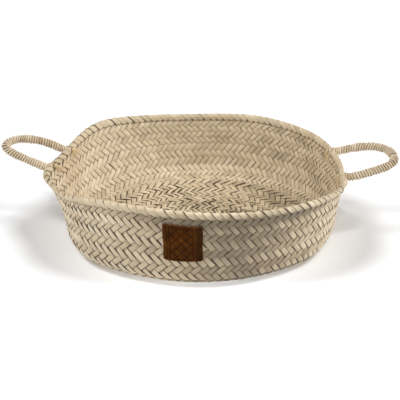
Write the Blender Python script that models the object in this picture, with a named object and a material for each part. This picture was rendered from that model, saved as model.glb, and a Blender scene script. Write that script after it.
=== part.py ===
"""Straw bread basket: palm-leaf plait sewn in a spiral, two wrapped rope handles, a leather label."""
import math

import bmesh
import bpy
import numpy as np
from mathutils import Vector

# Rim line, seen from above and from the side
rim_radius = 0.1690
rim_oval = 0.0024
rim_skew = -0.0024
rim_height = 0.0925
back_dip = 0.0026
rim_lean = -0.0055
rim_twist = 0.0013
left_pull = 0.0120
left_dip = 0.0270
right_dip = 0.0120
left_pull_bearing = 180.0
left_pull_spread = 9.2
left_pinch = 0.0040
right_pinch = 0.0028
left_dip_bearing = 191.6
left_dip_spread = 31.5
right_dip_bearing = 355.0
right_dip_spread = 24.0
back_dip_bearing = 88.0
back_dip_spread = 32.0
left_pinch_bearing = 158.0
right_pinch_bearing = 17.0
pinch_spread = 12.0
right_squeeze = 0.0060
right_squeeze_bearing = 354.0
right_squeeze_spread = 14.0
left_shoulder_rise = 0.0030
left_shoulder_bearing = 137.0
left_shoulder_spread = 12.0
right_shoulder_rise = 0.0024
right_shoulder_bearing = 64.0
right_shoulder_spread = 16.0
middle_dip = 0.0016
middle_dip_bearing = 100.0
middle_dip_spread = 16.0

# Plait and rolled edge
plait_thickness = 0.0036
row_height = 0.0093
rows_per_course = 5
roll_thickness = 0.0064
roll_depth = 0.0090
roll_step = 0.0010

# Foot, where the wall turns into the base
foot_flat_radius = 0.1409
foot_bend_radius = 0.0200
base_lift = 0.0100
lift_start_radius = 0.1000
lift_end_radius = 0.1500
left_foot_push = 0.0070
left_foot_bearing = 217.5
left_foot_spread = 19.0
right_foot_push = 0.0032
right_foot_bearing = 322.0
right_foot_spread = 14.0

# Sewing cord between the courses
cord_diameter = 0.0016
clearance = 0.0003

# Handle rope
rope_diameter = 0.0102
rope_core_diameter = 0.0074
whip_groove = 0.0004
root_depth = 0.0066
swing_room = 0.0072
knot_radius = 0.0075
knot_depth = 0.0070
knot_standoff = 0.0010

# Left loop: where its ends leave the wall, how far it reaches and how it is bent
left_back_bearing = 160.3
left_front_bearing = 173.6
left_reach = 0.0605
left_tilt = 16.5
left_squareness = 2.23
left_flare_share = 0.16
left_sway = 0.0118

# Right loop
right_back_bearing = 18.7
right_front_bearing = 357.2
right_reach = 0.0584
right_tilt = 12.9
right_squareness = 2.58
right_flare_share = 0.01
right_sway = 0.0085

# Leather label
label_bearing = 262.9
label_width = 0.0430
label_height = 0.0435
label_drop = 0.0160
label_thickness = 0.0014
label_fold_thickness = 0.0008
label_left_fold = 0.0045
label_right_fold = 0.0078
fold_slope = 0.0006
stitch_width = 0.0009
stitch_length = 0.0042
stitch_inset = 0.0032

# Smoothness
ring_segments = 64
rope_sides = 10
cord_sides = 6
whip_turns = 24
knot_steps = 4
hole_sides = 16

# Sizes that follow from the ones above
half_plait = plait_thickness / 2
bend_radius = foot_bend_radius - half_plait
wall_bottom_radius = foot_flat_radius + bend_radius
wall_slant = math.hypot(rim_radius - wall_bottom_radius, rim_height - foot_bend_radius)
bend_arc = bend_radius * math.pi / 2
seam_gap = cord_diameter + 2 * clearance
course_width = rows_per_course * row_height
wall_seam = course_width
foot_seam = wall_slant + bend_arc
rope_radius = rope_diameter / 2
core_radius = rope_core_diameter / 2
hole_radius = rope_radius + clearance
roll_outer = roll_thickness - half_plait


def bell(bearing, centre, spread):
    """Smooth bump of height one at a bearing, in degrees, round the basket."""
    turn = (bearing - centre + 180.0) % 360.0 - 180.0
    return math.exp(-((turn / spread) ** 2))


def rim_reach(bearing):
    """Radius of the plait's mid surface at the rim."""
    angle = math.radians(bearing)
    oval = rim_oval * math.cos(2 * angle) + rim_skew * math.sin(2 * angle)
    pull = left_pull * bell(bearing, left_pull_bearing, left_pull_spread)
    pull -= left_pinch * bell(bearing, left_pinch_bearing, pinch_spread)
    pull -= right_pinch * bell(bearing, right_pinch_bearing, pinch_spread)
    pull -= right_squeeze * bell(bearing, right_squeeze_bearing, right_squeeze_spread)
    return rim_radius + oval + pull


def rim_level(bearing):
    """Height of the rim's ridge, which sags at both handles."""
    angle = math.radians(bearing)
    sway = rim_lean * math.cos(angle) + rim_twist * math.sin(2 * angle)
    left = left_dip * bell(bearing, left_dip_bearing, left_dip_spread)
    right = right_dip * bell(bearing, right_dip_bearing, right_dip_spread)
    back = back_dip * bell(bearing, back_dip_bearing, back_dip_spread)
    back += middle_dip * bell(bearing, middle_dip_bearing, middle_dip_spread)
    rise = left_shoulder_rise * bell(bearing, left_shoulder_bearing, left_shoulder_spread)
    rise += right_shoulder_rise * bell(bearing, right_shoulder_bearing, right_shoulder_spread)
    return rim_height + sway + rise - left - right - back


def foot_lift(bearing, radius):
    """Rise of the base off the table towards the back of the foot."""
    share = (radius - lift_start_radius) / (lift_end_radius - lift_start_radius)
    share = min(max(share, 0.0), 1.0)
    back_share = (1.0 + math.sin(math.radians(bearing))) / 2
    return base_lift * back_share * share * share


def foot_push(bearing):
    """Distance by which the foot stands out of round, at its two front quarters."""
    left = left_foot_push * bell(bearing, left_foot_bearing, left_foot_spread)
    right = right_foot_push * bell(bearing, right_foot_bearing, right_foot_spread)
    return left + right


def meridian(bearing, drop):
    """Radius and height of the plait's mid surface at a distance from the rim along the plait."""
    push = foot_push(bearing)
    if drop < wall_slant:
        share = drop / wall_slant
        radius = rim_reach(bearing) * (1 - share) + (wall_bottom_radius + push) * share
        foot = foot_bend_radius + foot_lift(bearing, wall_bottom_radius)
        return radius, rim_level(bearing) * (1 - share) + foot * share
    if drop < wall_slant + bend_arc:
        turn = (drop - wall_slant) / bend_radius
        radius = foot_flat_radius + bend_radius * math.cos(turn)
        height = foot_bend_radius - bend_radius * math.sin(turn)
        return radius + push, height + foot_lift(bearing, radius)
    radius = foot_flat_radius - (drop - wall_slant - bend_arc)
    share = (radius - lift_start_radius) / (foot_flat_radius - lift_start_radius)
    push *= min(max(share, 0.0), 1.0)
    return radius + push, half_plait + foot_lift(bearing, radius)


def place(bearing, radius, height):
    """Point in space from a bearing, a radius and a height."""
    angle = math.radians(bearing)
    return Vector((radius * math.cos(angle), radius * math.sin(angle), height))


def section_point(bearing, drop, outward):
    """Point a distance outward of the mid surface, square to its profile."""
    step = clearance
    before = meridian(bearing, max(drop - step, 0.0))
    after = meridian(bearing, drop + step)
    run = after[0] - before[0]
    fall = after[1] - before[1]
    length = math.hypot(run, fall)
    radius, height = meridian(bearing, drop)
    return place(bearing, radius - outward * fall / length, height + outward * run / length)


def bearings():
    """Bearings of the facets round the basket."""
    return [360.0 * step / ring_segments for step in range(ring_segments)]


def spread(first, last, count):
    """Evenly spaced values from first to last."""
    return [first + (last - first) * step / (count - 1) for step in range(count)]


def colour_material(name, colour, roughness):
    """Plain surface for one sub-part."""
    material = bpy.data.materials.new(name)
    material.use_nodes = True
    shader = material.node_tree.nodes["Principled BSDF"]
    shader.inputs["Base Color"].default_value = (*colour, 1.0)
    shader.inputs["Roughness"].default_value = roughness
    shader.inputs["Metallic"].default_value = 0.0
    return material


def new_object(name, mesh_work, colour, roughness, origin=None):
    """Closed, outward-facing, smooth-shaded object with its origin at the given point."""
    bmesh.ops.recalc_face_normals(mesh_work, faces=mesh_work.faces)
    if origin is not None:
        bmesh.ops.translate(mesh_work, verts=mesh_work.verts, vec=-origin)
    mesh = bpy.data.meshes.new(name)
    mesh_work.to_mesh(mesh)
    mesh_work.free()
    for face in mesh.polygons:
        face.use_smooth = True
    made = bpy.data.objects.new(name, mesh)
    if origin is not None:
        made.location = origin
    mesh.materials.append(colour_material(name + "_surface", colour, roughness))
    bpy.context.scene.collection.objects.link(made)
    return made


def loft(rings, joined):
    """Skin of quads through equal rings of points, joined round or closed with end faces."""
    work = bmesh.new()
    rows = [[work.verts.new(point) for point in ring] for ring in rings]
    count = len(rows[0])
    pairs = list(zip(rows, rows[1:]))
    if joined:
        pairs.append((rows[-1], rows[0]))
    for first, second in pairs:
        for index in range(count):
            after = (index + 1) % count
            work.faces.new((first[index], first[after], second[after], second[index]))
    if not joined:
        work.faces.new(rows[0])
        work.faces.new(rows[-1])
    return work


def course_rings(inner_drops, outer_drops):
    """Closed cross-sections of a plait course at every bearing."""
    rings = []
    for bearing in bearings():
        ring = [section_point(bearing, drop, half_plait) for drop in outer_drops]
        ring += [section_point(bearing, drop, -half_plait) for drop in reversed(inner_drops)]
        rings.append(ring)
    return rings


def rim_ring(bearing, end):
    """Cross-section of the upper course with its edge rolled outward."""
    middle = roll_thickness / 2
    ring = [section_point(bearing, end, -half_plait)]
    ring.append(section_point(bearing, (end + middle) / 2, -half_plait))
    for step in range(5):
        turn = math.pi * step / 4
        outward = middle - half_plait - middle * math.cos(turn)
        ring.append(section_point(bearing, middle - middle * math.sin(turn), outward))
    ring.append(section_point(bearing, roll_depth - roll_step, roll_outer))
    ring.append(section_point(bearing, roll_depth, roll_outer - roll_step))
    ring.append(section_point(bearing, roll_depth, half_plait))
    ring.append(section_point(bearing, (end + roll_depth) / 2, half_plait))
    ring.append(section_point(bearing, end, half_plait))
    return ring


def cord_ring(bearing, drop):
    """Cross-section of the sewing cord that lies in the seam at a distance from the rim."""
    radius = cord_diameter / 2
    ring = []
    for side in range(cord_sides):
        turn = 2 * math.pi * side / cord_sides
        ring.append(section_point(bearing, drop + radius * math.cos(turn), radius * math.sin(turn)))
    return ring


def surface_normal(bearing, drop):
    """Outward direction square to the plait's mid surface."""
    turn = math.degrees(clearance / rim_radius)
    around = place(bearing + turn, *meridian(bearing + turn, drop))
    around -= place(bearing - turn, *meridian(bearing - turn, drop))
    down = place(bearing, *meridian(bearing, drop + clearance))
    down -= place(bearing, *meridian(bearing, drop - clearance))
    return down.cross(around).normalized()


def root_place(bearing):
    """Point of the plait's mid surface where a handle end goes through, and its direction."""
    centre = place(bearing, *meridian(bearing, root_depth))
    return centre, surface_normal(bearing, root_depth)


def swing_point(bearing):
    """Point outside the rolled edge that a handle end turns about."""
    centre, outward = root_place(bearing)
    return centre + outward * (roll_outer + swing_room)


def handle_frame(back_bearing, front_bearing, tilt):
    """Centre, axis, outward and square directions of a handle loop at rest."""
    back = swing_point(back_bearing)
    front = swing_point(front_bearing)
    axis = (front - back).normalized()
    centre = (front + back) / 2
    outward = Vector((centre.x, centre.y, 0.0))
    outward -= axis * outward.dot(axis)
    outward.normalize()
    upward = outward.cross(axis)
    if upward.z < 0:
        upward.negate()
    angle = math.radians(tilt)
    reach = outward * math.cos(angle) + upward * math.sin(angle)
    square = upward * math.cos(angle) - outward * math.sin(angle)
    return centre, axis, reach, square, (front - back).length / 2


def signed_power(value, power):
    """Power that keeps the sign of its base."""
    return math.copysign(abs(value) ** power, value)


def loop_point(frame, bend, turn):
    """Point on a handle's centre line, for a turn of 0 at the back end and pi at the front."""
    centre, axis, reach, square, half_span = frame
    reach_length, squareness, flare_share, sway = bend
    power = 2 / squareness
    widening = 1 + flare_share * math.sin(turn)
    along = -half_span * signed_power(math.cos(turn), power) * widening
    along += sway * math.sin(turn) ** 2
    out = reach_length * max(math.sin(turn), 0.0) ** power
    return centre + axis * along + reach * out


def loop_line(frame, bend, count):
    """Evenly spaced centre-line points of a handle, ends included."""
    fine = [loop_point(frame, bend, math.pi * step / 400) for step in range(401)]
    lengths = [0.0]
    for first, second in zip(fine, fine[1:]):
        lengths.append(lengths[-1] + (second - first).length)
    wanted = spread(0.0, lengths[-1], count)
    columns = [np.interp(wanted, lengths, [point[axis] for point in fine]) for axis in range(3)]
    return [Vector(point) for point in zip(*columns)], lengths[-1]


def rope_ring(centre, forward, square, radius, sides):
    """Round cross-section of a rope that runs forward."""
    side = forward.cross(square).normalized()
    ring = []
    for step in range(sides):
        turn = 2 * math.pi * step / sides
        ring.append(centre + side * (radius * math.cos(turn)) + square * (radius * math.sin(turn)))
    return ring


def line_directions(points):
    """Forward direction at each point of a line."""
    last = len(points) - 1
    return [(points[min(i + 1, last)] - points[max(i - 1, 0)]).normalized() for i in range(last + 1)]


def bulb_stations(point, forward):
    """Centres and radii of the round end of a rope, about the point that it turns on."""
    stations = []
    for turn in (-80.0, -50.0, -20.0, 15.0, 40.0):
        angle = math.radians(turn)
        stations.append((point + forward * (rope_radius * math.sin(angle)), rope_radius * math.cos(angle)))
    return stations


def whip_marks(frame, bend):
    """Points and forward directions along a handle, two for each turn of its whipping."""
    fine_count = 8 * whip_turns + 1
    points, length = loop_line(frame, bend, fine_count)
    forwards = line_directions(points)
    start = math.ceil((rope_radius + clearance) / length * (fine_count - 1))
    chosen = [round(value) for value in spread(start, fine_count - 1 - start, 2 * whip_turns + 1)]
    return [(points[index], forwards[index]) for index in chosen], points[0], points[-1]


def handle_core(name, frame, bend, colour):
    """Rope core of a handle, with a round end on the turning line at each side."""
    marks, first, last = whip_marks(frame, bend)
    centre, axis, reach, square, half_span = frame
    stations = [(at, size, reach) for at, size in bulb_stations(first, reach)]
    stations += [(at, core_radius, ahead) for at, ahead in marks[::2]]
    tail = [(at, size, -reach) for at, size in bulb_stations(last, reach)]
    stations += reversed(tail)
    rings = [rope_ring(at, ahead, square, size, rope_sides) for at, size, ahead in stations]
    return new_object(name, loft(rings, False), colour, 0.8, centre)


def handle_whipping(name, frame, bend, colour):
    """Cord wound round the rope core from end to end, as one sleeve with its turns."""
    marks, first, last = whip_marks(frame, bend)
    centre, axis, reach, square, half_span = frame
    outer = []
    for order, (at, ahead) in enumerate(marks):
        radius = rope_radius - whip_groove * (1 - order % 2)
        outer.append(rope_ring(at, ahead, square, radius, rope_sides))
    bore = core_radius + clearance
    inner = [rope_ring(at, ahead, square, bore, rope_sides) for at, ahead in reversed(marks[::2])]
    return new_object(name, loft(outer + inner, True), colour, 0.8, centre)


def handle_root(name, bearing, colour):
    """End of the rope through the wall, knotted inside the basket."""
    centre, outward = root_place(bearing)
    square = Vector((0.0, 0.0, 1.0))
    square -= outward * square.dot(outward)
    square.normalize()
    shoulder = -half_plait - knot_standoff
    stations = []
    for step in range(knot_steps):
        turn = math.pi * (step + 1) / (knot_steps + 1)
        along = shoulder - knot_depth * (1 + math.cos(turn)) / 2
        stations.append((along, knot_radius * math.sin(turn)))
    stations.append((shoulder, rope_radius))
    stations.append((roll_outer + swing_room - rope_radius - clearance, rope_radius))
    rings = [rope_ring(centre + outward * a, outward, square, size, rope_sides) for a, size in stations]
    return new_object(name, loft(rings, False), colour, 0.8)


def root_hole(target, name, bearing):
    """Hole through the rolled edge for a rope end."""
    centre, outward = root_place(bearing)
    square = Vector((0.0, 0.0, 1.0))
    square -= outward * square.dot(outward)
    square.normalize()
    reach = 2 * roll_thickness
    ends = (centre - outward * reach, centre + outward * reach)
    rings = [rope_ring(end, outward, square, hole_radius, hole_sides) for end in ends]
    cutter = new_object(name, loft(rings, False), (0.5, 0.5, 0.5), 0.8)
    cutter.hide_render = True
    cutter.display_type = "WIRE"
    cut = target.modifiers.new(name, "BOOLEAN")
    cut.operation = "DIFFERENCE"
    cut.solver = "EXACT"
    cut.object = cutter


def label_face_height(across):
    """Thickness of the leather, which is folded double along both sides."""
    left = (label_left_fold - across) / fold_slope
    right = (across - label_width + label_right_fold) / fold_slope
    share = min(max(left, right, 0.0), 1.0)
    return label_thickness + label_fold_thickness * share


def label_point(across, down, outward):
    """Point over the wall at the label, measured from its top left corner."""
    bearing = label_bearing + math.degrees((across - label_width / 2) / rim_radius)
    return section_point(bearing, label_drop + down, half_plait + clearance + outward)


def leather_label(colour):
    """Leather patch on the outside of the wall."""
    edges = [0.0, label_left_fold - fold_slope, label_left_fold]
    edges += spread(label_left_fold, label_width - label_right_fold, 5)[1:-1]
    edges += [label_width - label_right_fold, label_width - label_right_fold + fold_slope, label_width]
    rings = []
    for across in edges:
        lifted = clearance + label_face_height(across)
        ring = [label_point(across, down, lifted) for down in spread(0.0, label_height, 5)]
        ring += [label_point(across, down, clearance) for down in spread(label_height, 0.0, 5)]
        rings.append(ring)
    return new_object("leather_label", loft(rings, False), colour, 0.6)


def label_stitch(name, across, is_top, colour):
    """Thread over the label's edge at one corner."""
    inward = 1 if is_top else -1
    edge = 0.0 if is_top else label_height
    face = clearance + label_face_height(across) + clearance
    near = edge - inward * clearance
    far = edge - inward * (clearance + stitch_width)
    inside = edge + inward * stitch_length
    profile = ((inside, face), (inside, face + stitch_width), (far, face + stitch_width))
    profile += ((far, clearance), (near, clearance), (near, face))
    rings = []
    for side in (-stitch_width / 2, stitch_width / 2):
        rings.append([label_point(across + side, down, out) for down, out in profile])
    return new_object(name, loft(rings, False), colour, 0.7)


def clear_scene():
    """Empty the scene."""
    for old in list(bpy.data.objects):
        bpy.data.objects.remove(old)


def build_body(straw, cord):
    """Plait courses from rim to centre, and the cords that sew them together."""
    upper_end = wall_seam - seam_gap / 2
    rings = [rim_ring(bearing, upper_end) for bearing in bearings()]
    upper = new_object("wall_course_upper", loft(rings, True), straw, 0.75)
    lower_start = wall_seam + seam_gap / 2
    lower_end = foot_seam - seam_gap / 2
    drops = [lower_start, wall_slant] + spread(wall_slant, lower_end, 5)[1:]
    new_object("wall_course_lower", loft(course_rings(drops, drops), True), straw, 0.75)
    outer_seam = foot_seam + course_width
    drops = spread(foot_seam + seam_gap / 2, outer_seam - seam_gap / 2, 5)
    new_object("base_course_outer", loft(course_rings(drops, drops), True), straw, 0.75)
    inner_seam = outer_seam + course_width
    drops = spread(outer_seam + seam_gap / 2, inner_seam - seam_gap / 2, 2)
    new_object("base_course_inner", loft(course_rings(drops, drops), True), straw, 0.75)
    centre_drop = inner_seam + seam_gap / 2
    rings = [[section_point(b, centre_drop, side) for b in bearings()] for side in (-half_plait, half_plait)]
    new_object("base_centre_coil", loft(rings, False), straw, 0.75)
    seams = (("wall", wall_seam), ("foot", foot_seam), ("base_outer", outer_seam), ("base_inner", inner_seam))
    for label, drop in seams:
        rings = [cord_ring(bearing, drop) for bearing in bearings()]
        new_object("seam_cord_" + label, loft(rings, True), cord, 0.85)
    return upper


def build_handle(side, upper, bearings_pair, tilt, bend, straw, cord):
    """One handle: its two rope ends in the wall and its loop."""
    back, front = bearings_pair
    frame = handle_frame(back, front, tilt)
    handle_core("handle_" + side + "_core", frame, bend, straw)
    handle_whipping("handle_" + side + "_whipping", frame, bend, cord)
    for end, bearing in (("back", back), ("front", front)):
        root = "handle_" + side + "_root_" + end
        handle_root(root, bearing, straw)
        root_hole(upper, "hole_" + side + "_" + end, bearing)


def build_label(leather, thread):
    """Leather label and the thread at its corners."""
    leather_label(leather)
    left = stitch_inset
    right = label_width - stitch_inset
    label_stitch("label_stitch_top_left", left, True, thread)
    label_stitch("label_stitch_top_right", right, True, thread)
    label_stitch("label_stitch_low_left", left, False, thread)
    label_stitch("label_stitch_low_right", right, False, thread)


def main():
    """Build the basket."""
    straw = (0.66, 0.54, 0.37)
    cord = (0.70, 0.58, 0.40)
    leather = (0.13, 0.05, 0.02)
    thread = (0.03, 0.02, 0.015)
    clear_scene()
    upper = build_body(straw, cord)
    left = (left_back_bearing, left_front_bearing)
    left_bend = (left_reach, left_squareness, left_flare_share, left_sway)
    right = (right_back_bearing, right_front_bearing)
    right_bend = (right_reach, right_squareness, right_flare_share, right_sway)
    build_handle("left", upper, left, left_tilt, left_bend, straw, cord)
    build_handle("right", upper, right, right_tilt, right_bend, straw, cord)
    build_label(leather, thread)
    bpy.context.view_layer.update()


main()
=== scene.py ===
"""Straw bread basket: palm-leaf plait sewn round, wrapped rope handles and a plain leather label."""

import logging
import math
from dataclasses import dataclass
from enum import Enum

import bmesh
import bpy
import numpy as np
from mathutils import Matrix, Vector


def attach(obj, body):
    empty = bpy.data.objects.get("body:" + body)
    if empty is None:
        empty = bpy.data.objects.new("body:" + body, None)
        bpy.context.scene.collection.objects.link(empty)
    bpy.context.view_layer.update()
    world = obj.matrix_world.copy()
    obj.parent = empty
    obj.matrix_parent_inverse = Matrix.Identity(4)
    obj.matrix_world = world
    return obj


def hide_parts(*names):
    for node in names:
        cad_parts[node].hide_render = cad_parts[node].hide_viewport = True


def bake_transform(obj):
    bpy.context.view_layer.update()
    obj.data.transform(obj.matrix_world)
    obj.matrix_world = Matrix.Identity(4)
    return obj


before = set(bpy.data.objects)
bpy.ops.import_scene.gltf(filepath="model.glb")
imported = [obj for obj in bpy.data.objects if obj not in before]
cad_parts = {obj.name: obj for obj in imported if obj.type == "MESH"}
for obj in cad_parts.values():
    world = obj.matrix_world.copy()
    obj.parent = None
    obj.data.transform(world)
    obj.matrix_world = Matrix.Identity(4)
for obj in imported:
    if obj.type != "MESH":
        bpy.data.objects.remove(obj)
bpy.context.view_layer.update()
LOG = logging.getLogger("bread_basket")
MM = 0.001
MAP_UNITS = 100.0
MAP_JUMP = 90.0
MAP_SHIFT = 40.0
DEGREE_MARKS = 361
Array = np.ndarray
Colour = tuple[float, float, float]
Spot = tuple[float, float, float]
Marks = tuple[float, ...]
Stops = tuple[tuple[float, Colour], ...]


# Small tools for numbers


def unit(vectors: Array) -> Array:
    """Vectors scaled to length one."""
    return vectors / np.maximum(np.linalg.norm(vectors, axis=-1, keepdims=True), 1e-12)


def turned(bearing: Array, middle: float) -> Array:
    """Degrees from a middle bearing, from -180 to 180."""
    return (bearing - middle + 180.0) % 360.0 - 180.0


def run_along(line: Array) -> Array:
    """Distance of each point of a line from its start."""
    return np.concatenate([[0.0], np.cumsum(np.linalg.norm(np.diff(line, axis=0), axis=1))])


def even_line(line: Array, step: float) -> Array:
    """Line with its points about one step apart, ends included."""
    run = run_along(line)
    wanted = np.linspace(0.0, run[-1], int(round(run[-1] / step)) + 1)
    return np.stack([np.interp(wanted, run, line[:, axis]) for axis in range(3)], -1)


def frame_along(line: Array, square: Array) -> tuple[Array, Array, Array]:
    """Direction of a line at each point, and two directions across it."""
    ahead = unit(np.gradient(line, axis=0))
    side = unit(np.cross(ahead, square))
    return ahead, side, np.cross(side, ahead)


def ring(turn: Array, side: Array, above: Array) -> Array:
    """Directions round a line, at angles from its side."""
    return np.cos(turn)[:, None] * side + np.sin(turn)[:, None] * above


def flattened(across: Array) -> Array:
    """Places across a strand moved towards its edges, so that its face is flat."""
    return np.sign(across) * np.abs(across) ** 0.36


def wander(count: int, stride: int, size: float, luck: np.random.Generator) -> Array:
    """Values that wander smoothly along a line of points.

    Args:
        count: Number of points.
        stride: Points from one chance value to the next.
        size: Spread of the values.
        luck: Source of chance.

    Returns:
        One value for each point.
    """
    knots = np.arange(0, count + stride, stride)
    return np.interp(np.arange(count), knots, luck.normal(0.0, size, len(knots)))


# Shape of the basket, as the solids have it


@dataclass(frozen=True)
class Swell:
    """Smooth bump of the rim about one bearing, in degrees."""

    height: float
    bearing: float
    spread: float

    def at(self, bearing: Array) -> Array:
        """Height of the bump at each bearing."""
        return self.height * np.exp(-((turned(bearing, self.bearing) / self.spread) ** 2))


@dataclass(frozen=True)
class BasketForm:
    """Middle surface of the plait, from the rim down the wall and in over the base."""

    rim_radius: float = 0.1690
    rim_oval: float = 0.0024
    rim_skew: float = -0.0024
    rim_height: float = 0.0925
    rim_lean: float = -0.0055
    rim_twist: float = 0.0013
    pulls: tuple[Swell, ...] = (
        Swell(0.0120, 180.0, 9.2),
        Swell(-0.0040, 158.0, 12.0),
        Swell(-0.0028, 17.0, 12.0),
        Swell(-0.0060, 354.0, 14.0),
    )
    dips: tuple[Swell, ...] = (
        Swell(0.0270, 191.6, 31.5),
        Swell(0.0120, 355.0, 24.0),
        Swell(0.0026, 88.0, 32.0),
        Swell(0.0016, 100.0, 16.0),
        Swell(-0.0030, 137.0, 12.0),
        Swell(-0.0024, 64.0, 16.0),
    )
    pushes: tuple[Swell, ...] = (Swell(0.0070, 217.5, 19.0), Swell(0.0032, 322.0, 14.0))
    foot_flat_radius: float = 0.1409
    foot_bend_radius: float = 0.0200
    base_lift: float = 0.0100
    lift_start: float = 0.1000
    lift_end: float = 0.1500
    half_plait: float = 0.0018
    edge_drop: float = 1 * MM
    probe_drop: float = 0.4 * MM
    probe_turn: float = 0.2

    @property
    def bend_radius(self) -> float:
        """Radius of the foot's bend at the middle of the plait."""
        return self.foot_bend_radius - self.half_plait

    @property
    def wall_bottom_radius(self) -> float:
        """Radius where the wall meets the foot's bend."""
        return self.foot_flat_radius + self.bend_radius

    @property
    def wall_slant(self) -> float:
        """Length of the wall from the rim to the foot's bend."""
        return math.hypot(self.rim_radius - self.wall_bottom_radius, self.rim_height - self.foot_bend_radius)

    @property
    def foot_seam(self) -> float:
        """Length from the rim to the inner end of the foot's bend."""
        return self.wall_slant + self.bend_radius * math.pi / 2

    def reach(self, bearing: Array) -> Array:
        """Radius of the rim."""
        angle = np.radians(bearing)
        oval = self.rim_oval * np.cos(2 * angle) + self.rim_skew * np.sin(2 * angle)
        return self.rim_radius + oval + sum(pull.at(bearing) for pull in self.pulls)

    def level(self, bearing: Array) -> Array:
        """Height of the rim's ridge."""
        angle = np.radians(bearing)
        sway = self.rim_lean * np.cos(angle) + self.rim_twist * np.sin(2 * angle)
        return self.rim_height + sway - sum(dip.at(bearing) for dip in self.dips)

    def lift(self, bearing: Array, radius: Array | float) -> Array:
        """Rise of the foot off the table towards the back."""
        share = np.clip((radius - self.lift_start) / (self.lift_end - self.lift_start), 0.0, 1.0)
        return self.base_lift * (1 + np.sin(np.radians(bearing))) / 2 * share * share

    def point(self, bearing: Array, drop: Array) -> Array:
        """Points of the middle surface.

        Args:
            bearing: Bearings in degrees.
            drop: Lengths from the rim along the plait, in metres.

        Returns:
            Points, with their coordinates on the last axis.
        """
        share = np.minimum(drop / self.wall_slant, 1.0)
        bottom = self.wall_bottom_radius
        push = sum(swell.at(bearing) for swell in self.pushes)
        wall_radius = self.reach(bearing) * (1 - share) + (bottom + push) * share
        foot_top = self.foot_bend_radius + self.lift(bearing, bottom)
        wall_height = self.level(bearing) * (1 - share) + foot_top * share
        turn = np.clip((drop - self.wall_slant) / self.bend_radius, 0.0, math.pi / 2)
        inward = np.maximum(drop - self.foot_seam, 0.0)
        foot_radius = self.foot_flat_radius + self.bend_radius * np.cos(turn) - inward
        foot_height = self.foot_bend_radius - self.bend_radius * np.sin(turn)
        foot_height = foot_height + self.lift(bearing, foot_radius)
        on_wall = drop < self.wall_slant
        fade = np.clip((foot_radius - self.lift_start) / (self.foot_flat_radius - self.lift_start), 0.0, 1.0)
        radius = np.where(on_wall, wall_radius, foot_radius + push * fade)
        height = np.where(on_wall, wall_height, foot_height)
        angle = np.radians(bearing)
        return np.stack([radius * np.cos(angle), radius * np.sin(angle), height], -1)

    def around(self, bearing: Array, drop: Array) -> Array:
        """Short steps round the basket at each point."""
        return self.point(bearing + self.probe_turn, drop) - self.point(bearing - self.probe_turn, drop)

    def patch(self, bearing: Array, drop: Array) -> tuple[Array, Array]:
        """Points of the middle surface and the outward directions there."""
        down = self.point(bearing, drop + self.probe_drop) - self.point(bearing, drop - self.probe_drop)
        return self.point(bearing, drop), unit(np.cross(down, self.around(bearing, drop)))

    def over_edge(self, bearing: Array, drop: Array) -> tuple[Array, Array, Array]:
        """Points near the ridge or above it, with the downward and outward directions there."""
        below = np.maximum(drop, self.edge_drop)
        base, outward = self.patch(bearing, below)
        down = unit(self.point(bearing, drop + self.edge_drop) - self.point(bearing, drop))
        return base + down * (drop - below)[..., None], down, outward


FORM = BasketForm()


# Small tools for meshes


@dataclass
class Blank:
    """Flat piece of mesh that is laid many times along strands.

    Each vertex has a station along the strand, places from -1 to 1 along and across it, and a side.
    """

    mesh: bpy.types.Mesh
    station: Array
    along: Array
    across: Array
    side: Array

    @classmethod
    def cut(cls, stations: int, cuts: int, thick: bool) -> "Blank":
        """Make a blank.

        Args:
            stations: Number of places along the strand.
            cuts: Number of faces across it.
            thick: Whether it is a closed strip, or a single sheet to be rolled up.

        Returns:
            The blank.
        """
        work = bmesh.new()
        sheet_map = work.loops.layers.uv.new("fibre")
        bmesh.ops.create_grid(work, x_segments=stations - 1, y_segments=cuts, size=1.0)
        if thick:
            grown = bmesh.ops.extrude_face_region(work, geom=work.faces[:], use_keep_orig=True)
            raised = [item for item in grown["geom"] if isinstance(item, bmesh.types.BMVert)]
            bmesh.ops.translate(work, verts=raised, vec=(0.0, 0.0, 1.0))
            bmesh.ops.recalc_face_normals(work, faces=work.faces)
        for face in work.faces:
            for corner in face.loops:
                corner[sheet_map].uv = corner.vert.co.xy
        mesh = bpy.data.meshes.new("blank")
        work.to_mesh(mesh)
        work.free()
        flat = np.empty(len(mesh.vertices) * 3)
        mesh.vertices.foreach_get("co", flat)
        along, across, side = flat.reshape(-1, 3).T.copy()
        return cls(mesh, np.rint((along + 1) / 2 * (stations - 1)).astype(int), along, across, side)

    def spread(self, middle: Array, aside: Array, square: Array, half: Array, height: Array) -> Array:
        """Vertices of strands laid along lines.

        Args:
            middle: Middle lines, one row for each strand.
            aside: Directions across the strands.
            square: Directions out of their faces.
            half: Half widths at the stations.
            height: Heights of the vertices.

        Returns:
            Positions of the vertices.
        """
        pick = self.station
        sideways = half[:, pick] * flattened(self.across)
        return middle[:, pick] + aside[:, pick] * sideways[..., None] + square[:, pick] * height[..., None]


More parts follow.
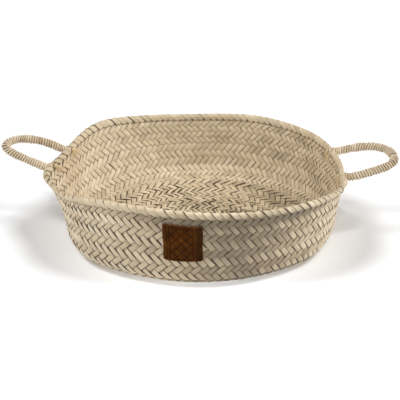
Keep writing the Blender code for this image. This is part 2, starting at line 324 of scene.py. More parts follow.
@dataclass
class Lay:
    """Strands laid on their places: vertex positions, and what the finish reads from them."""

    blank: Blank
    spots: Array
    along: Array
    aside: Array
    tone: Array
    kind: Array
    shade: Array

    @classmethod
    def dark(cls, blank: Blank, spots: Array, along: Array, aside: Array) -> "Lay":
        """Closed layer of one dark sheet, painted shade for the gaps it lies behind."""
        flat = np.zeros((1, 1))
        return cls(blank, spots[None], along[None], aside[None], flat, flat, flat + 1.0)

    def mesh(self, name: str) -> bpy.types.Mesh:
        """One mesh that holds all the strands, with its fibre map and its tone, kind and shade."""
        count = len(self.spots)
        work = bmesh.new()
        for _ in range(count):
            work.from_mesh(self.blank.mesh)
        mesh = bpy.data.meshes.new(name)
        work.to_mesh(mesh)
        work.free()
        mesh.vertices.foreach_set("co", self.spots.reshape(-1))
        corners = np.empty(len(self.blank.mesh.loops), int)
        self.blank.mesh.loops.foreach_get("vertex_index", corners)
        places = np.stack([self.along[:, corners], self.aside[:, corners]], -1)
        mesh.uv_layers["fibre"].data.foreach_set("uv", places.reshape(-1))
        for label, values in (("tone", self.tone), ("kind", self.kind), ("shade", self.shade)):
            layer = mesh.attributes.new(label, "FLOAT", "POINT")
            spread = np.broadcast_to(values, (count, len(self.blank.station)))
            layer.data.foreach_set("value", np.ascontiguousarray(spread, dtype=np.float32).reshape(-1))
        return mesh


@dataclass(frozen=True)
class Tube:
    """Round cord along a line of points."""

    sides: int = 8

    def lay(self, line: Array, radius: Array | float, square: Array, tone: float, kind: float = 0.3) -> Lay:
        """Cord in place.

        Args:
            line: Points of its middle.
            radius: Its radius, at each point or for all.
            square: Direction that is never along the line, for all points or at each.
            tone: Tone of the cord.
            kind: Kind of the cord.

        Returns:
            The cord as one sheet rolled up, to be welded.
        """
        blank = Blank.cut(len(line), self.sides, False)
        _, side, above = frame_along(line, square)
        size = np.broadcast_to(radius, (len(line),))
        turn = (blank.across + 1) * math.pi
        pick = blank.station
        spots = line[pick] + size[pick, None] * ring(turn, side[pick], above[pick])
        run = run_along(line) * MAP_UNITS
        aside = turn * size[pick] * MAP_UNITS + kind * MAP_SHIFT
        flat = np.ones((1, 1))
        return Lay(blank, spots[None], run[pick][None], aside[None], flat * tone, flat * kind, flat * 0.0)


def place_piece(
    name: str,
    meshes: list[bpy.types.Mesh],
    finish: bpy.types.Material,
    node: str,
    weld: float = 0.0,
    body: str | None = "basket",
) -> bpy.types.Object:
    """Join meshes to one piece with outward faces and tie it to the frame.

    Args:
        name: Name of the piece.
        meshes: Its meshes, in place, which are removed.
        finish: Its material.
        node: Solid that it stands for.
        weld: Distance under which vertices are merged, or zero.
        body: Body that it rides on, or None to leave it untied.

    Returns:
        The piece.
    """
    work = bmesh.new()
    for mesh in meshes:
        work.from_mesh(mesh)
        bpy.data.meshes.remove(mesh)
    if weld:
        bmesh.ops.remove_doubles(work, verts=work.verts, dist=weld)
        rims = [edge for edge in work.edges if edge.is_boundary]
        bmesh.ops.holes_fill(work, edges=rims, sides=0)
    bmesh.ops.recalc_face_normals(work, faces=work.faces)
    for face in work.faces:
        face.smooth = True
    joined = bpy.data.meshes.new(name)
    work.to_mesh(joined)
    work.free()
    joined.materials.append(finish)
    piece = bpy.data.objects.new(name, joined)
    bpy.context.scene.collection.objects.link(piece)
    if body:
        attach(piece, body)
    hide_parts(node)
    LOG.info("%s: %d faces", name, len(joined.polygons))
    return piece


# Shader tools


class Wire:
    """Value in a material, with arithmetic that adds the Math nodes it needs."""

    def __init__(self, board: "Board", socket: bpy.types.NodeSocket) -> None:
        """Wrap an output socket."""
        self.board = board
        self.socket = socket

    def maths(
        self, operation: str, *others: "Wire | float", clamp: bool = False, first: bool = True
    ) -> "Wire":
        """Result of one Math node.

        Args:
            operation: Its operation.
            others: Its other inputs.
            clamp: Whether the result is kept between 0 and 1.
            first: Whether this value is the first input.

        Returns:
            The result.
        """
        values = (self, *others) if first else (*others, self)
        settings = {"operation": operation, "use_clamp": clamp}
        return self.board.node("ShaderNodeMath", settings, dict(enumerate(values)))

    def __add__(self, other: "Wire | float") -> "Wire":
        """Sum."""
        return self.maths("ADD", other)

    __radd__ = __add__

    def __sub__(self, other: "Wire | float") -> "Wire":
        """Difference."""
        return self.maths("SUBTRACT", other)

    def __rsub__(self, other: float) -> "Wire":
        """Difference from a number."""
        return self.maths("SUBTRACT", other, first=False)

    def __mul__(self, other: "Wire | float") -> "Wire":
        """Product."""
        return self.maths("MULTIPLY", other)

    def __truediv__(self, other: "Wire | float") -> "Wire":
        """Quotient."""
        return self.maths("DIVIDE", other)

    def clamped(self) -> "Wire":
        """Value kept between 0 and 1."""
        return self.maths("ADD", 0.0, clamp=True)

    def ramp(self, low: float, high: float) -> "Wire":
        """Share of the way from low to high, kept between 0 and 1."""
        return ((self - low) / (high - low)).clamped()


class Board:
    """Node tree of one material."""

    def __init__(self, name: str) -> None:
        """Start a material with its shader and output."""
        self.material = bpy.data.materials.new(name)
        self.material.use_nodes = True
        self.tree = self.material.node_tree
        self.shader = self.tree.nodes["Principled BSDF"]

    def node(
        self, kind: str, settings: dict[str, object], inputs: dict[object, object], output: object = 0
    ) -> Wire:
        """Add a node.

        Args:
            kind: Its type.
            settings: Its settings.
            inputs: Values or links of its sockets, by name or number.
            output: Name or number of the output that is wanted.

        Returns:
            The output, wrapped.
        """
        made = self.tree.nodes.new(kind)
        for name, value in settings.items():
            setattr(made, name, value)
        for name, value in inputs.items():
            self.feed(made.inputs[name], value)
        return Wire(self, made.outputs[output])

    def feed(self, socket: bpy.types.NodeSocket, value: object) -> None:
        """Link a value to a socket, or set it there."""
        if isinstance(value, Wire):
            self.tree.links.new(value.socket, socket)
        else:
            socket.default_value = value

    def attribute(self, name: str) -> Wire:
        """Number that the mesh carries under a name."""
        return self.node("ShaderNodeAttribute", {"attribute_name": name}, {}, "Fac")

    def fibre_map(self, along: float, aside: float) -> Wire:
        """Fibre map scaled along and across the strand."""
        source = self.node("ShaderNodeUVMap", {"uv_map": "fibre"}, {})
        return self.node("ShaderNodeMapping", {}, {"Vector": source, "Scale": (along, aside, 1.0)})

    def place(self) -> Wire:
        """Object coordinates."""
        return self.node("ShaderNodeTexCoord", {}, {}, "Object")

    def noise(self, vector: Wire, scale: float, detail: float = 3.0, rough: float = 0.55) -> Wire:
        """Noise texture's value."""
        inputs = {"Vector": vector, "Scale": scale, "Detail": detail, "Roughness": rough}
        return self.node("ShaderNodeTexNoise", {}, inputs)

    def colours(self, share: Wire, stops: Stops) -> Wire:
        """Colour from a ramp."""
        colour = self.node("ShaderNodeValToRGB", {}, {0: share})
        ramp = colour.socket.node.color_ramp
        while len(ramp.elements) < len(stops):
            ramp.elements.new(1.0)
        for element, (place, value) in zip(ramp.elements, stops):
            element.position = place
            element.color = (*value, 1.0)
        return colour

    def mix(self, share: Wire, first: Wire, second: Colour) -> Wire:
        """Colour with a share of another colour in it."""
        inputs = {0: share, 6: first, 7: (*second, 1.0)}
        return self.node("ShaderNodeMix", {"data_type": "RGBA"}, inputs, 2)

    def near(self, spot: Spot, size: float) -> Wire:
        """Soft patch that is 1 at a spot and falls to 0 at a distance from it."""
        settings = {"operation": "DISTANCE"}
        away = self.node("ShaderNodeVectorMath", settings, {0: self.place(), 1: spot}, "Value")
        return (1.0 - away / size).clamped()

    def dress(
        self,
        colour: Wire,
        roughness: Wire | float,
        specular: float,
        height: Wire | None = None,
        depth: float = 0.0,
    ) -> bpy.types.Material:
        """Link the shader and give the material.

        Args:
            colour: Base colour.
            roughness: Roughness.
            specular: Specular level.
            height: Height of the relief, or None.
            depth: Depth of the relief, in metres.

        Returns:
            The material.
        """
        self.feed(self.shader.inputs["Base Color"], colour)
        self.feed(self.shader.inputs["Roughness"], roughness)
        self.feed(self.shader.inputs["Specular IOR Level"], specular)
        if height is not None:
            bump = self.node("ShaderNodeBump", {}, {"Strength": 1.0, "Distance": depth, "Height": height})
            self.feed(self.shader.inputs["Normal"], bump)
        return self.material


# Finishes


@dataclass(frozen=True)
class PalmLeaf:
    """Dried palm leaf: pale strands of many tones, with fine fibres along them."""

    stops: Stops = (
        (0.0, (0.26, 0.19, 0.115)),
        (0.30, (0.42, 0.325, 0.205)),
        (0.65, (0.575, 0.465, 0.315)),
        (1.0, (0.72, 0.62, 0.455)),
    )
    bleached: Colour = (0.44, 0.405, 0.315)
    dark_leaf_and_shade: Colour = (0.150, 0.120, 0.076)
    furrow: Colour = (0.22, 0.155, 0.085)
    freckle: Colour = (0.18, 0.11, 0.055)
    stain: Colour = (0.36, 0.225, 0.105)
    # Painted shade: near-black of the gaps, strand edges and buried faces between strands
    gap: Colour = (0.040, 0.023, 0.010)
    stains: tuple[tuple[Spot, float, float], ...] = (
        ((-0.128, 0.020, 0.010), 0.045, 0.9),
        ((-0.118, 0.045, 0.008), 0.040, 0.8),
        ((-0.155, 0.045, 0.060), 0.030, 0.7),
    )

    def make(self) -> bpy.types.Material:
        """Material of the plaited strands."""
        board = Board("palm_leaf")
        tone = board.attribute("tone")
        kind = board.attribute("kind")
        fibres = board.noise(board.fibre_map(0.35, 11.0), 1.0, 4.0, 0.7)
        broad = board.noise(board.fibre_map(0.5, 2.2), 1.0, 2.0)
        mottle = board.noise(board.place(), 60.0, 3.0)
        cloud = board.noise(board.place(), 14.0, 2.0)
        share = (tone * 0.66 + broad * 0.34 + cloud * 0.26 - 0.13).clamped()
        colour = board.colours(share, self.stops)
        colour = board.mix(kind * 0.32, colour, self.bleached)
        # Low tones turn olive brown: darker leaf, and painted shade at the front, under the rim and on the
        # base
        colour = board.mix(tone.ramp(0.30, -0.55) * 0.9, colour, self.dark_leaf_and_shade)
        colour = board.mix((1.0 - fibres.ramp(0.34, 0.62)) * 0.42, colour, self.furrow)
        colour = board.mix(mottle.ramp(0.66, 0.80) * 0.30, colour, self.freckle)
        for spot, size, depth in self.stains:
            colour = board.mix(board.near(spot, size) * cloud.ramp(0.32, 0.62) * depth, colour, self.stain)
        # Painted shade: the shade attribute darkens strand edges, buried faces and gaps towards the gap
        # colour
        colour = board.mix(board.attribute("shade").ramp(0.06, 0.64) * 0.93, colour, self.gap)
        return board.dress(colour, 0.50 + fibres * 0.22, 0.42, fibres * 0.6 + broad * 0.5, 0.22 * MM)


@dataclass(frozen=True)
class TwistedPalm:
    """Palm cord: thin twisted strands, paler than the plait."""

    name: str
    light: Colour
    dark: Colour
    # Painted shade: colour of the grooves between turns
    gap: Colour = (0.060, 0.034, 0.014)

    def make(self) -> bpy.types.Material:
        """Material of the cords."""
        board = Board(self.name)
        fibres = board.noise(board.fibre_map(1.2, 14.0), 1.0, 4.0, 0.7)
        cloud = board.noise(board.place(), 45.0, 2.0)
        share = (board.attribute("tone") * 0.5 + cloud * 0.55 - 0.05).clamped()
        between = tuple(0.5 * (a + b) for a, b in zip(self.dark, self.light))
        colour = board.colours(share, ((0.0, self.dark), (0.45, between), (1.0, self.light)))
        colour = board.mix((1.0 - fibres.ramp(0.35, 0.6)) * 0.5, colour, self.dark)
        # Painted shade: the shade attribute darkens the grooves towards the gap colour
        colour = board.mix(board.attribute("shade").ramp(0.15, 0.85) * 0.95, colour, self.gap)
        return board.dress(colour, 0.62 + fibres * 0.2, 0.35, fibres, 0.25 * MM)


@dataclass(frozen=True)
class TannedHide:
    """Brown leather with a fine grain, darker in its pressed lines and worn along its edges."""

    stops: Stops = ((0.25, (0.036, 0.009, 0.0)), (0.55, (0.062, 0.018, 0.0)), (0.8, (0.105, 0.036, 0.001)))
    groove: Colour = (0.008, 0.002, 0.0)
    worn: Colour = (0.22, 0.10, 0.035)

    def make(self) -> bpy.types.Material:
        """Material of the label."""
        board = Board("tanned_hide")
        cells = {"Vector": board.place(), "Scale": 1900.0}
        grain = board.node("ShaderNodeTexVoronoi", {"feature": "F1"}, cells)
        cloud = board.noise(board.place(), 95.0, 4.0)
        fine = board.noise(board.place(), 900.0, 3.0)
        # Tone darkens towards the groove colour: pressed lines, seams, creases and the painted shade of the
        # right fold
        colour = board.mix(board.attribute("tone") * 0.94, board.colours(cloud, self.stops), self.groove)
        colour = board.mix(board.attribute("kind") * fine.ramp(0.4, 0.7) * 0.6, colour, self.worn)
        return board.dress(colour, 0.52 + fine * 0.25, 0.05, grain * 0.5 + fine * 0.5, 0.12 * MM)


@dataclass(frozen=True)
class WaxedThread:
    """Dark waxed thread with its twist."""

    stops: Stops = ((0.3, (0.006, 0.003, 0.001)), (0.7, (0.022, 0.010, 0.004)))

    def make(self) -> bpy.types.Material:
        """Material of the stitches."""
        board = Board("waxed_thread")
        twist = board.noise(board.fibre_map(9.0, 9.0), 1.0, 2.0)
        return board.dress(board.colours(twist, self.stops), 0.7 + twist * 0.2, 0.08, twist, 0.1 * MM)


@dataclass(frozen=True)
class StudioFloor:
    """Plain pale floor."""

    stops: Stops = ((0.0, (0.945, 0.955, 0.970)), (1.0, (0.960, 0.970, 0.985)))

    def make(self) -> bpy.types.Material:
        """Material of the floor."""
        board = Board("studio_floor")
        cloud = board.noise(board.place(), 3.0, 2.0)
        return board.dress(board.colours(cloud, self.stops), 0.9, 0.1)


# The plait


class Lean(Enum):
    """Way that a strand leans, seen from outside with the rim up."""

    RISING = -1.0
    FALLING = 1.0


@dataclass(frozen=True)
class RowEdges:
    """Lengths from the rim, in millimetres, at which the rows of the plait meet."""

    front: Marks = (0.0, 9.2, 16.5, 27.0, 35.0, 46.5, 55.0, 66.5, 75.0, 86.0, 93.5, 102.0)
    back: Marks = (0.0, 10.5, 19.0, 28.5, 38.0, 46.5, 58.0, 69.0, 79.5, 88.5, 96.0, 102.0)
    base_row: float = 9.3
    base_rows: int = 20

    def drop(self, row: Array, bearing: Array) -> Array:
        """Length from the rim at a row number and a bearing, in metres."""
        marks = np.arange(len(self.front) + self.base_rows)
        inner = self.front[-1] + self.base_row * np.arange(1, self.base_rows + 1)
        walls = (self.front, self.back)
        front, back = (np.interp(row, marks, np.concatenate([wall, inner])) for wall in walls)
        behind = 0.5 + 0.5 * np.sin(np.radians(bearing))
        return (front * (1 - behind) + back * behind) * MM


@dataclass(frozen=True)
class Spacing:
    """Degrees from one column of the plait to the next, at marks round the basket."""

    marks: Marks = (0, 30, 60, 90, 110, 140, 165, 190, 215, 250, 280, 315, 340)
    steps: Marks = (2.5, 2.6, 2.9, 2.8, 2.6, 3.3, 3.0, 3.3, 3.4, 3.7, 3.05, 3.1, 2.7)

    def bearing(self, turns: Array) -> Array:
        """Bearings of places that are counted in shares of the way round."""
        fine = np.linspace(0.0, 360.0, 2 * DEGREE_MARKS - 1)
        per_degree = 1 / np.interp(fine, self.marks, self.steps, period=360.0)
        run = np.concatenate([[0.0], np.cumsum(per_degree[1:] + per_degree[:-1])])
        whole = np.floor(turns)
        return 360.0 * whole + np.interp(turns - whole, run / run[-1], fine)


@dataclass(frozen=True)
class Slack:
    """Place where the strands lie open."""

    bearing: float
    spread: float
    row: float
    depth: float
    narrowing: float

    def at(self, bearing: Array, row: Array) -> Array:
        """Share that a strand's width loses there."""
        turn = turned(bearing, self.bearing) / self.spread
        return self.narrowing * np.exp(-(turn**2) - ((row - self.row) / self.depth) ** 2)


@dataclass(frozen=True)
class LeafToneAndPaintedShade:
    """How pale the leaf is and how dark its edges are, at marks round the outside and the inside: the leaf's
    own tone together with painted light and shade, painted dark lines in the gaps and a painted shadow under
    the rim.
    """

    marks: Marks = (0, 30, 60, 90, 120, 150, 180, 210, 235, 262, 285, 305, 330)
    # Tone shifts by bearing: painted shade where little light falls, as at the front centre, and painted
    # light on the lit sides
    outer_tone: Marks = (0.20, 0.1, 0.15, 0.15, 0.15, 0.1, 0.05, 0.20, 0.10, -0.26, -0.84, -0.44, 0.20)
    inner_tone: Marks = (-0.04, -0.30, -0.20, -0.08, 0.06, 0.12, -0.02, -0.12, 0.0, 0.0, 0.0, 0.0, 0.0)
    # Strengths of the painted dark lines along edges and gaps
    rim_edge: Marks = (0.7, 0.6, 0.6, 0.55, 0.55, 0.45, 0.30, 0.25, 0.36, 0.95, 1.5, 1.6, 1.2)
    outer_edge: Marks = (0.8, 0.7, 0.7, 0.7, 0.7, 0.7, 0.6, 0.55, 0.70, 1.1, 1.5, 1.2, 0.9)
    inner_edge: Marks = (0.75, 0.6, 0.45, 0.38, 0.38, 0.5, 0.65, 0.65, 0.6, 0.6, 0.6, 0.6, 0.6)
    # Painted shadow under the rim: its depth, middle row and spread in rows
    rim_shadow: float = 0.80
    rim_shadow_row: float = 1.3
    rim_shadow_depth: float = 0.9
    base_row: float = 11.0
    # Painted shade on the base, and stronger painted gap lines there
    base_tone: float = -0.14
    base_edge: float = 0.80
    darkest: float = -0.7

    def read(self, bearing: Array, face: Array, outer: Marks, inner: Marks) -> Array:
        """Value at each vertex.

        Args:
            bearing: Bearings of the vertices.
            face: 1 on the outside and -1 on the inside.
            outer: Values at the marks outside.
            inner: Values at the marks inside.

        Returns:
            Values in the shape of the bearings.
        """
        outside, inside = (np.interp(bearing, self.marks, values, period=360.0) for values in (outer, inner))
        return np.where(face > 0, outside, inside)

    def under_rim(self, bearing: Array, row: Array) -> Array:
        """Painted shadow: how much darker the leaf is in the rows under the rim, most at the front."""
        depth = (row - self.rim_shadow_row) / self.rim_shadow_depth
        return self.rim_shadow * self.front(bearing) * np.exp(-(depth**2))

    @staticmethod
    def front(bearing: Array) -> Array:
        """Share from 0 to 1, largest just right of the label."""
        return (0.5 - 0.5 * np.sin(np.radians(bearing - 12.0))) ** 6


@dataclass(frozen=True)
class PlaitCourse:
    """One turn of the plaited band: strands leaning both ways, over two and under two."""

    name: str
    first_row: float
    last_row: float
    columns: int
    seed: int
    slacks: tuple[Slack, ...]
    stations_per_row: int = 6
    looseness: float = 1.0
    spacing: Spacing = Spacing()
    strand_width: float = 6.7 * MM
    strand_thickness: float = 0.80 * MM
    lift: float = 0.84 * MM
    crown: float = 0.16 * MM
    fill: float = 0.965
    cuts: int = 4
    # Dark sheet inside the plait, painted shade for the gaps: its thickness and inset from the course's
    # edges
    shade_sheet_thickness: float = 0.25 * MM
    shade_sheet_inset: float = 0.3
    sway_spread: float = 0.045
    width_spread: float = 0.035
    rise_spread: float = 0.10
    tilt_spread: float = 0.16
    thickness_spread: float = 0.08
    tone_spread: float = 0.12
    kind_spread: float = 0.16
    steepness: float = 1.55
    drifts: tuple[tuple[float, float, float], ...] = ((3, 1.7, 0.0), (5, -2.3, 1.0), (2, 0.9, 4.0))
    edges: RowEdges = RowEdges()
    tone_and_shade: LeafToneAndPaintedShade = LeafToneAndPaintedShade()

    def spot(self, rows: Array, column: Array) -> Array:
        """Points of the middle surface at rows and columns."""
        bearing = self.spacing.bearing(column / self.columns)
        return FORM.point(bearing, self.edges.drop(rows, bearing))

    def lay(self, lean: Lean) -> Lay:
        """Strands that lean one way.

        Args:
            lean: The way they lean.

        Returns:
            The strands in place.
        """
        stations = int(round((self.last_row - self.first_row) * self.stations_per_row)) + 1
        blank = Blank.cut(stations, self.cuts, True)
        luck = np.random.default_rng(self.seed + int(lean.value))
        size = (self.columns, 1)
        rows = np.linspace(self.first_row, self.last_row, stations)[None, :]
        sway = luck.normal(0.0, self.sway_spread * self.looseness, size)
        sway = sway * np.sin(rows * 1.3 + luck.uniform(0, 6.28, size))
        column = np.arange(self.columns)[:, None] + lean.value * (rows - 0.25) + sway
        bearing = self.spacing.bearing(column / self.columns)
        middle, outward = FORM.patch(bearing, self.edges.drop(rows, bearing))
        aside = unit(np.cross(outward, unit(np.gradient(middle, axis=1))))
        apart = self.spot(rows, column + 0.5) - self.spot(rows, column - 0.5)
        gap = np.minimum(np.abs((apart * aside).sum(-1)), self.strand_width)
        fill = self.fill * (1 - np.abs(luck.normal(0.0, self.width_spread * self.looseness, size)))
        half = 0.5 * gap * fill * (1 - sum(slack.at(bearing, rows) for slack in self.slacks))
        over = np.clip(self.steepness * np.sin(np.pi * rows), -1.0, 1.0) * lean.value
        if self.first_row < 1:
            over = np.minimum(over, (rows - self.first_row) * 4 - 0.6)
        rise = self.lift * over * (1 + luck.normal(0.0, self.rise_spread, size))
        tilt = luck.normal(0.0, self.tilt_spread * self.looseness, size) * MM
        thick = self.strand_thickness * (1 + luck.normal(0.0, self.thickness_spread, size))
        steps = np.linalg.norm(np.diff(middle, axis=1), axis=-1)
        run = np.concatenate([np.zeros(size), np.cumsum(steps, 1)], 1) * MAP_UNITS
        run = run + luck.uniform(0, MAP_JUMP, size)
        pick = blank.station
        across = flattened(blank.across)
        body = thick * (1 - 0.5 * across**8)
        height = rise[:, pick] - self.crown * across**2 * over[:, pick]
        height = height + tilt * across + (blank.side - 0.5) * body
        spots = blank.spread(middle, aside, outward, half, height)
        tone, kind, shade = self.colouring(lean, blank, bearing, rows, over, luck)
        aside_map = half[:, pick] * across * MAP_UNITS + luck.uniform(0, MAP_SHIFT, size)
        return Lay(blank, spots, run[:, pick], aside_map, tone, kind, shade)

    def colouring(
        self, lean: Lean, blank: Blank, bearing: Array, rows: Array, over: Array, luck: np.random.Generator
    ) -> tuple[Array, Array, Array]:
        """What the finish reads at each vertex.

        Args:
            lean: The way the strands lean.
            blank: Their blank.
            bearing: Bearings of the stations.
            rows: Rows of the stations.
            over: How far the strands pass over the others, from -1 to 1.
            luck: Source of chance.

        Returns:
            Tone, kind and shade.
        """
        size = (self.columns, 1)
        pick = blank.station
        tone_and_shade = self.tone_and_shade
        here = bearing[:, pick]
        face = 2 * blank.side - 1
        on_base = np.clip(rows[:, pick] - tone_and_shade.base_row, 0, 1)
        # Painted shade: faces that lie under the crossing strands go dark, so the gaps look deep
        buried = np.clip(0.25 - 1.6 * over[:, pick] * face, 0, 1)
        # Painted shade along strand edges, stronger at the front and on the base; the lower edge darker, as
        # if lit from above
        strength = tone_and_shade.read(here, face, tone_and_shade.outer_edge, tone_and_shade.inner_edge)
        strength = strength + tone_and_shade.base_edge * on_base
        low = -lean.value * flattened(blank.across)
        edge = ((low > 0.95) + 0.5 * (low < -0.95)) * luck.uniform(0.6, 1.1, size) * strength
        # Tone shifts by bearing and side, with painted light and shade, the painted shadow under the rim and
        # painted shade on the base
        tone_and_shade_shift = tone_and_shade.read(here, face, tone_and_shade.outer_tone, tone_and_shade.inner_tone)
        tone_and_shade_shift = tone_and_shade_shift - tone_and_shade.under_rim(bearing, rows)[:, pick] * (face > 0)
        tone_and_shade_shift = tone_and_shade_shift + tone_and_shade.base_tone * on_base
        angle = np.radians(bearing)
        drift = sum(np.sin(waves * angle + slope * rows + start) for waves, slope, start in self.drifts)
        tones = 0.56 + 0.055 * drift + luck.normal(0.0, self.tone_spread, size)
        # Painted light and shade: outside, strands leaning one way lighter, the other way darker
        tone = tones[:, pick] + tone_and_shade_shift + 0.12 * lean.value * (face > 0)
        kind = np.where(face > 0, 0.55, 0.20) + luck.normal(0.0, self.kind_spread, size)
        shade = np.maximum(buried, edge)
        return np.clip(tone, tone_and_shade.darkest, 1), np.clip(kind, 0, 1), np.clip(shade, 0, 1)

    def shade_sheet(self) -> Lay:
        """Thin dark sheet between the strands, which closes the plait: painted shade seen through the gaps.
        """
        rows = self.last_row - self.first_row
        blank = Blank.cut(DEGREE_MARKS, int(round(rows * 2)), True)
        bearing = 180.0 * (blank.along + 1)
        row = self.first_row + self.shade_sheet_inset + (rows - 2 * self.shade_sheet_inset) * (blank.across + 1) / 2
        middle, outward = FORM.patch(bearing, self.edges.drop(row, bearing))
        spots = middle + outward * ((blank.side - 0.5) * self.shade_sheet_thickness)[:, None]
        return Lay.dark(blank, spots, bearing, row)

    def build(self, finish: bpy.types.Material) -> None:
        """Make the course in place of its solid."""
        meshes = [self.lay(lean).mesh(self.name + lean.name) for lean in Lean]
        meshes.append(self.shade_sheet().mesh(self.name + "shade_sheet"))
        place_piece(self.name + "_plait", meshes, finish, self.name)


@dataclass(frozen=True)
class RimFold:
    """Strands of the top row folded over the edge, in a rounded roll."""

    folds: int = 120
    stations: int = 27
    cuts: int = 4
    advance: float = 0.0240
    strand_thickness: float = 0.80 * MM
    crown: float = 0.16 * MM
    seed: int = 7
    fill: float = 1.05
    ridge: float = 0.45
    # Dark sheet under the folds, painted shade for the gaps: its cuts and thickness
    fold_shade_cuts: int = 24
    fold_shade_thickness: float = 0.2 * MM
    spacing: Spacing = Spacing()

    def profile(self, stations: int) -> Array:
        """Path over the edge, as drops from the ridge, distances outward and lengths, in metres."""
        turns = np.radians(np.linspace(180.0, 0.0, 11))
        top = np.stack([3.1 - 2.9 * np.sin(turns), 1.15 + 2.5 * np.cos(turns)], -1)
        inner = np.array([(9.3, -0.25), (8.7, -0.75), (7.4, -1.1), (5.4, -1.35)])
        outer = np.array([(4.8, 3.3), (6.1, 2.8), (7.4, 2.2), (8.6, 1.4), (9.5, 0.3), (10.1, -1.0)])
        path = np.concatenate([inner, top, outer]) * MM
        run = run_along(path)
        wanted = np.linspace(0.0, run[-1], stations)
        return np.stack([np.interp(wanted, run, path[:, 0]), np.interp(wanted, run, path[:, 1]), wanted], -1)

    def lay(self) -> Lay:
        """Folded strands round the rim."""
        blank = Blank.cut(self.stations, self.cuts, True)
        luck = np.random.default_rng(self.seed)
        size = (self.folds, 1)
        path = self.profile(self.stations)
        share = path[:, 2] / path[-1, 2]
        order = np.arange(self.folds)[:, None] + luck.normal(0.0, 0.07, size)
        places = ((order + shift) / self.folds for shift in (-0.5, 0.0, 0.5))
        before, bearing, after = (self.spacing.bearing(place) for place in places)
        bearing = bearing + np.degrees(self.advance * (share - 0.5) / FORM.rim_radius)
        base, _, outward = FORM.over_edge(bearing, path[:, 0])
        middle = base + outward * path[:, 1, None]
        around = unit(FORM.around(bearing, path[:, 0]))
        ahead = unit(np.gradient(middle, axis=1))
        square = unit(np.cross(ahead, around))
        aside = unit(np.cross(square, ahead))
        gap = np.radians(after - before) * FORM.rim_radius * np.abs((around * aside).sum(-1))
        fill = self.fill * (1 + luck.normal(0.0, 0.03, size))
        taper = 1 - 0.75 * np.clip((share - 0.84) / 0.16, 0, 1) - 0.2 * np.clip((0.16 - share) / 0.16, 0, 1)
        half = 0.5 * gap * fill * taper
        pick = blank.station
        across = flattened(blank.across)
        thick = self.strand_thickness * (1 - 0.45 * across**8)
        shingle = luck.normal(0.12, 0.10, size) * MM * across
        height = (blank.side - 0.5) * thick + shingle - self.crown * across**2
        spots = blank.spread(middle, aside, square, half, height)
        run = path[:, 2] * MAP_UNITS + luck.uniform(0, MAP_JUMP, size)
        tone, kind, shade = self.colouring(blank, bearing[:, pick], share[pick], luck)
        aside_map = half[:, pick] * blank.across * MAP_UNITS + luck.uniform(0, MAP_SHIFT, size)
        return Lay(blank, spots, run[:, pick], aside_map, tone, kind, shade)

    def colouring(
        self, blank: Blank, bearing: Array, share: Array, luck: np.random.Generator
    ) -> tuple[Array, Array, Array]:
        """What the finish reads at each vertex.

        Args:
            blank: Blank of the folds.
            bearing: Bearings of the vertices.
            share: Shares of the way over the edge.
            luck: Source of chance.

        Returns:
            Tone, kind and shade.
        """
        size = (self.folds, 1)
        tone_and_shade = LeafToneAndPaintedShade()
        outside = 2.0 * (share > self.ridge) - 1
        tone_and_shade_shift = tone_and_shade.read(bearing, outside, tone_and_shade.outer_tone, tone_and_shade.inner_tone)
        # Painted shade: the lower part of the outside fold darker, most at the front
        lower = np.clip((share - 0.58) / 0.3, 0, 1)
        tone_and_shade_shift = tone_and_shade_shift * np.where(tone_and_shade_shift > 0, 0.8, 1.5 * lower) - 0.9 * lower**2 * tone_and_shade.front(bearing)
        tone = np.clip(luck.normal(0.60, 0.12, size) + tone_and_shade_shift, tone_and_shade.darkest, 1)
        kind = np.clip(luck.normal(0.40, 0.16, size), 0, 1)
        # Painted shade: dark lines along the fold edges, fainter over the top of the ridge
        strength = tone_and_shade.read(bearing, outside, tone_and_shade.rim_edge, tone_and_shade.rim_edge)
        edge = (blank.across > 0.95) + 0.35 * (blank.across < -0.95)
        edge = edge * luck.uniform(0.55, 1.0, size) * strength
        edge = edge * np.clip(0.6 + 2.5 * np.abs(share - self.ridge), 0, 1)
        # Painted shade at the fold tips, where they tuck into the plait
        tip = np.maximum(share - 0.92, 0.05 - share)
        return tone, kind, np.maximum(edge, np.clip(tip / 0.05, 0, 1))

    def fold_shade_sheet(self) -> Lay:
        """Thin dark sheet between the folds, which closes them: painted shade seen between the folds."""
        blank = Blank.cut(DEGREE_MARKS, self.fold_shade_cuts, True)
        order = np.rint((blank.across + 1) / 2 * self.fold_shade_cuts).astype(int)
        path = self.profile(self.fold_shade_cuts + 1)[order]
        bearing = 180.0 * (blank.along + 1)
        base, down, outward = FORM.over_edge(bearing, path[:, 0])
        middle = np.array([3.1, 1.25]) * MM
        depth = np.where(path[:, 0] < middle[0], 0.3, 0.05) * MM
        inward = unit(middle - path[:, :2]) * depth[:, None]
        stand = path[:, 1] + inward[:, 1] + (blank.side - 0.5) * self.fold_shade_thickness
        spots = base + down * inward[:, :1] + outward * stand[:, None]
        return Lay.dark(blank, spots, bearing, path[:, 0] * MAP_UNITS)

    def build(self, finish: bpy.types.Material) -> None:
        """Make the folded edge, which is part of the upper course."""
        meshes = [self.lay().mesh("rim_fold"), self.fold_shade_sheet().mesh("rim_fold_shade")]
        place_piece("rim_fold", meshes, finish, "wall_course_upper")


# Camera, light and floor


